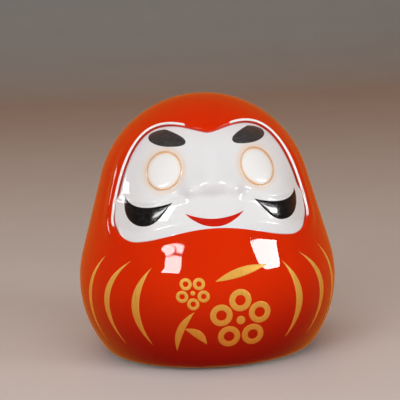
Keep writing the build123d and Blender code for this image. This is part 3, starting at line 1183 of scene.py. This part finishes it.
# %% Enamel and line finishes
def enamel(name, colour, thin_colour, gloss, streak_angle=0.0):
    material, shader, place = start_finish(name, IOR=1.5, Coat_Roughness=0.04)
    spun = place.node("ShaderNodeMapping", inputs={"Vector": place, "Rotation": (0, streak_angle, 0),
                                                   "Scale": (0.16, 1.0, 1.6)})
    streak = noise(spun, 1.0, 4.0, 0.6)
    grain = noise(place, 4.0, 3.0)
    shown = (streak.eased(0.40, 0.75) * 0.7 + grain.eased(0.60, 0.80) * 0.3)
    mixed = shown.colour_mix(colour, thin_colour)
    feed(shader, Base_Color=mixed, Roughness=streak.blend(gloss * 0.75, gloss * 1.25),
         Coat_Weight=grain.blend(max(0.0, 0.95 - gloss * 2.2), max(0.1, 1.0 - gloss * 2)),
         Normal=bumped(streak + grain * 0.3, 0.05))
    return material


dry_black = enamel("brow_black", tint(56, 53, 54), tint(88, 83, 83), 0.34, 0.1)
wet_black = enamel("moustache_black", tint(20, 18, 20), tint(48, 44, 46), 0.10, 0.2)
lip_red = enamel("mouth_red", tint(208, 26, 8), tint(226, 44, 16), 0.10)
line_brown = enamel("eye_line_brown", tint(240, 190, 140), tint(248, 216, 184), 0.14)
for node, piece in painted.items():
    finishes = {"eyebrow": dry_black, "moustache": wet_black, "mouth": lip_red, "eye": line_brown}
    piece.data.materials.clear()
    piece.data.materials.append(finishes[node.split("_")[0]])
print("enamels:", [m.name for m in (dry_black, wet_black, lip_red, line_brown)])

# %% [markdown]
# ## Gold lustre
# Fired gold paint is metal flakes in a film, so it isn't a mirror. It is part metal, fairly rough,
# and streaked by the brush. Its colour is painted lighter higher up the doll and browner lower down,
# as painted light and painted shade for the light from above.


# %% Gold finish
def gold_lustre(material):
    _, shader, place = start_finish("", material, IOR=1.5)
    _, _, z = place.split()
    spun = place.node("ShaderNodeMapping", inputs={"Vector": place, "Scale": (1.3, 1.3, 0.12)})
    streak = noise(spun, 1.0, 4.0, 0.6)
    flakes = noise(place, 7.0, 2.0)
    # Painted light and shade: the gold is lighter up high and browner low down, for the light from above.
    height = z.eased(6.0, 46.0)
    colour = height.colour_mix(tint(236, 130, 28), tint(255, 196, 84))
    colour = (streak.eased(0.45, 0.75) * 0.35).colour_mix(colour, tint(206, 102, 22))
    colour = (flakes.eased(0.55, 0.70) * 0.3).colour_mix(colour, tint(255, 222, 130))
    feed(shader, Base_Color=colour, Metallic=streak.blend(0.30, 0.15),
         Roughness=flakes.blend(0.26, 0.46), Normal=bumped(streak + flakes * 0.35, 0.06))


gold_lustre(gold)
print("gold faces take", gilded["gold_flower_1"].data.materials[0].name)

# %% [markdown]
# ## Stopper rubber
# Soft moulded vinyl is slightly cloudy and never quite clean. It has a fine satin grain from the
# mould, and dust settles where nobody rubs it.


# %% Stopper finish
def stopper_rubber():
    material, shader, place = start_finish("stopper_rubber", IOR=1.46, Specular_IOR_Level=0.4)
    grain = noise(place, 6.0, 3.0)
    patch = noise(place, 0.25, 3.0)
    colour = patch.colour_mix(tint(196, 190, 178), tint(220, 216, 206))
    colour = (grain.eased(0.55, 0.75) * 0.2).colour_mix(colour, tint(170, 160, 146))
    feed(shader, Base_Color=colour, Roughness=patch.blend(0.38, 0.58), Normal=bumped(grain, 0.03))
    return material


stopper.data.materials.clear()
stopper.data.materials.append(stopper_rubber())
print("stopper finish made")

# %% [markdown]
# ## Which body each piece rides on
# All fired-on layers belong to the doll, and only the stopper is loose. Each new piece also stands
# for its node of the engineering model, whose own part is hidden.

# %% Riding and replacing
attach(body, "doll")
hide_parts("ceramic_body")
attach(coat, "doll")
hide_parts("red_glaze")
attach(stopper, "stopper")
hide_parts("base_stopper")
for node, piece in painted.items():
    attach(piece, "doll")
    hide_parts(node)
    slots = {"mouth": "red_enamel", "eye": "brown_line"}
    slots.get(node.split("_")[0], "black_enamel")
for piece in gilded.values():
    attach(piece, "doll")
    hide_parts(piece["node"])
print("pieces:", 3 + len(painted) + len(gilded))

# %% [markdown]
# ## Floor and backdrop
# A sweep is a floor that curves up into a wall, so no horizon cuts through the picture. It is pale
# and almost matt, with a trace of tooth like coated paper.

# %% Sweep
SWEEP_DEPTH = 1.2
SWEEP_RADIUS = 0.5
bend = [(SWEEP_DEPTH + SWEEP_RADIUS * math.sin(a), SWEEP_RADIUS * (1 - math.cos(a)))
        for a in np.radians(np.linspace(0, 90, 24))]
section = [(-2.5, 0.0)] + bend + [(SWEEP_DEPTH + SWEEP_RADIUS, 2.6)]
corners = [(x, y, z) for x in (-3.0, 3.0) for y, z in section]
count = len(section)
quads = [(i, count + i, count + i + 1, i + 1) for i in range(count - 1)]
sweep_mesh = bpy.data.meshes.new("sweep")
sweep_mesh.from_pydata(corners, [], quads)
sweep_mesh.shade_smooth()
sweep = bpy.data.objects.new("sweep", sweep_mesh)
bpy.context.scene.collection.objects.link(sweep)
paper, shader, place = start_finish("sweep_paper", IOR=1.45)
feed(shader, Base_Color=noise(place, 0.02, 3.0).colour_mix(tint(222, 219, 214), tint(230, 228, 224)),
     Roughness=noise(place, 0.3, 3.0).blend(0.42, 0.55), Normal=bumped(noise(place, 1.5, 3.0), 0.02))
sweep_mesh.materials.append(paper)
print("sweep faces:", len(sweep_mesh.polygons))

# %% [markdown]
# ## Light
# Glaze shows its lights as shapes, so the windows are real panes with corners. Their places are the
# directions that the belly reflects: the left window has two panes with a bar between them. Wide soft
# panels light the forms but stay out of the reflections. The room itself is dim in front of the doll
# and warm behind it, so only the glancing edges of the glaze pick up some orange.


# %% Windows, panels and room
def beam(azimuth, elevation):
    """The direction towards a light. Azimuth 0 is straight in front, and positive is to the right."""
    a, e = math.radians(azimuth), math.radians(elevation)
    return Vector((math.sin(a) * math.cos(e), -math.cos(a) * math.cos(e), math.sin(e)))


WINDOW_DISTANCE = 1.0
EYE_LEVEL = Vector((0, 0, 0.045))
PANES = {
    "left_upper": [(-41.7, 19.3), (-25.3, 20.4), (-27.8, 19.8), (-42.9, 18.7)],
    "left_lower": [(-43.1, 18.5), (-28, 19.6), (-30.1, 14.9), (-46.6, 14.3)],
    "right": [(37.2, 18.8), (58.4, 16.1), (64, 14.7), (62, 10.2), (48, 11.2), (42.8, 16.8)],
    "side": [(-127, 18), (-104, 18), (-104, 11), (-127, 11)],
}
PANE_STRENGTH = {"left_upper": 16.0, "left_lower": 16.0, "right": 20.0, "side": 6.0}


def window_pane(name, corners, strength):
    """A flat pane that shines towards the doll and can't be seen by the camera."""
    points = [EYE_LEVEL + beam(*corner) * WINDOW_DISTANCE for corner in corners]
    mesh = bpy.data.meshes.new("pane_" + name)
    mesh.from_pydata([tuple(p) for p in points], [], [range(len(points))])
    glow = bpy.data.materials.new("pane_" + name)
    glow.use_nodes = True
    shader = glow.node_tree.nodes["Principled BSDF"]
    shader.inputs["Base Color"].default_value = (0, 0, 0, 1)
    shader.inputs["Emission Color"].default_value = (1, 1, 1, 1)
    shader.inputs["Emission Strength"].default_value = strength
    mesh.materials.append(glow)
    pane = bpy.data.objects.new("pane_" + name, mesh)
    pane.visible_camera = False
    bpy.context.scene.collection.objects.link(pane)
    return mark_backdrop(pane)


def soft_panel(name, azimuth, elevation, span, power):
    """A square light that faces the doll and doesn't show in the glaze. Its span is an angle."""
    lamp = bpy.data.lights.new(name, "AREA")
    lamp.size = 2 * WINDOW_DISTANCE * math.tan(math.radians(span) / 2)
    lamp.energy = power
    holder = bpy.data.objects.new(name, lamp)
    way = beam(azimuth, elevation)
    holder.location = EYE_LEVEL + way * WINDOW_DISTANCE
    holder.rotation_euler = way.to_track_quat("Z", "Y").to_euler()
    holder.visible_glossy = False
    bpy.context.scene.collection.objects.link(holder)


for name, corners in PANES.items():
    window_pane(name, corners, PANE_STRENGTH[name])
soft_panel("overhead", -20.0, 60.0, 64, 4.4)
soft_panel("front_left", -28.0, 22.0, 44, 2.8)
soft_panel("front_right", 34.0, 26.0, 44, 1.6)

world = bpy.data.worlds.new("warm_room")
bpy.context.scene.world = world
world.use_nodes = True
room = Wire(world.node_tree).node("ShaderNodeTexCoord", output="Generated")
_, behind, _ = room.split()
behind = behind.eased(-0.1, 0.7)
room = behind.colour_mix(tint(120, 104, 90), tint(224, 134, 58))
background = world.node_tree.nodes["Background"]
world.node_tree.links.new(room.socket, background.inputs["Color"])
world.node_tree.links.new(behind.blend(0.25, 0.75).socket, background.inputs["Strength"])
sweep.visible_glossy = False
bpy.context.scene.view_settings.view_transform = "Standard"
print("panes:", len(PANES), "soft panels:", len(bpy.data.lights))

# %% [markdown]
# ## Camera
# A long lens stands a little above the doll's middle and slightly to its left. The doll leans over
# by a couple of degrees in the frame, so the camera is rolled by that much.

# %% Camera
CAMERA_DISTANCE = 0.6
CAMERA_AZIMUTH = -5.02
CAMERA_ELEVATION = 9.5
CAMERA_ROLL = 2.31
LENS = 132.5
AIM = Vector((-1.75, 0, 60.4)) * MM

camera = bpy.data.objects.new("camera", bpy.data.cameras.new("camera"))
bpy.context.scene.collection.objects.link(camera)
camera.data.lens = LENS
camera.data.sensor_width = 36.0
camera.data.clip_start = 0.01
camera.location = Vector((0, 0, HEIGHT / 2)) * MM + beam(CAMERA_AZIMUTH, CAMERA_ELEVATION) * CAMERA_DISTANCE
look = (camera.location - AIM).to_track_quat("Z", "Y")
camera.rotation_euler = (look.to_matrix() @ Matrix.Rotation(-math.radians(CAMERA_ROLL), 3, "Z")).to_euler()
bpy.context.scene.camera = camera
print("camera at", [round(v, 3) for v in camera.location])
